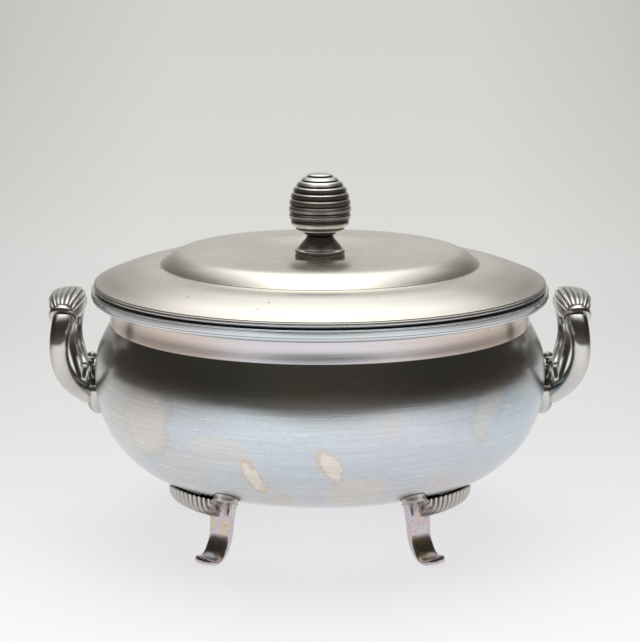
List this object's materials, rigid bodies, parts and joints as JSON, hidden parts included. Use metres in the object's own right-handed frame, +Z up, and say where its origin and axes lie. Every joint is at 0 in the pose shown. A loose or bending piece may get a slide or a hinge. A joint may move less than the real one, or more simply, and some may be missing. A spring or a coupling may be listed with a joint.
{
  "type": "pewter tureen",
  "caption": "round pewter soup tureen with a lift-off lid, ringed egg finial, loop handles with fluted grips, and scalloped shell feet",
  "frame": {"origin": "on the surface the feet stand on, under the middle of the bowl", "axes": "+X towards the right-hand handle, +Y towards the back, +Z up; the handles lie along X and the pictured side faces -Y"},
  "size_m": [0.3704, 0.3124, 0.2489],
  "materials": {
    "pewter_body": "satin pewter, softly polished, with faint tarnish clouds",
    "pewter_cast": "cast pewter, polished on the high places and dark in the grooves",
    "pewter_lid": "satin pewter with fine turning marks",
    "pewter_finial": "turned pewter, bright on the rings and dark between them",
    "brass_hardware": "plain brass"
  },
  "bodies": {
    "tureen": {"bowl": "pewter_body", "neck_band": "pewter_body", "rim_moulding": "pewter_body", "handle_right_grip": "pewter_cast", "handle_right_front_collar": "pewter_cast", "handle_right_front_arm": "pewter_cast", "handle_right_rear_collar": "pewter_cast", "handle_right_rear_arm": "pewter_cast", "handle_right_root_leaf": "pewter_cast", "handle_right_bud": "pewter_cast", "handle_left_grip": "pewter_cast", "handle_left_front_collar": "pewter_cast", "handle_left_front_arm": "pewter_cast", "handle_left_rear_collar": "pewter_cast", "handle_left_rear_arm": "pewter_cast", "handle_left_root_leaf": "pewter_cast", "handle_left_bud": "pewter_cast", "foot_rear_right_leg": "pewter_cast", "foot_rear_right_shell": "pewter_cast", "foot_rear_left_leg": "pewter_cast", "foot_rear_left_shell": "pewter_cast", "foot_front_left_leg": "pewter_cast", "foot_front_left_shell": "pewter_cast", "foot_front_right_leg": "pewter_cast", "foot_front_right_shell": "pewter_cast"},
    "lid": {"lid_cover": "pewter_lid", "lid_edge_band": "pewter_lid", "lid_bezel": "pewter_lid", "finial_egg": "pewter_finial", "finial_foot": "pewter_finial", "finial_stud": "brass_hardware", "finial_washer": "brass_hardware", "finial_nut": "brass_hardware"}
  },
  "joints": [
    {"name": "lid_lift", "type": "slide", "parent": "tureen", "child": "lid", "axis": [0, 0, 1], "range_m": [0, 0.15]}
  ]
}
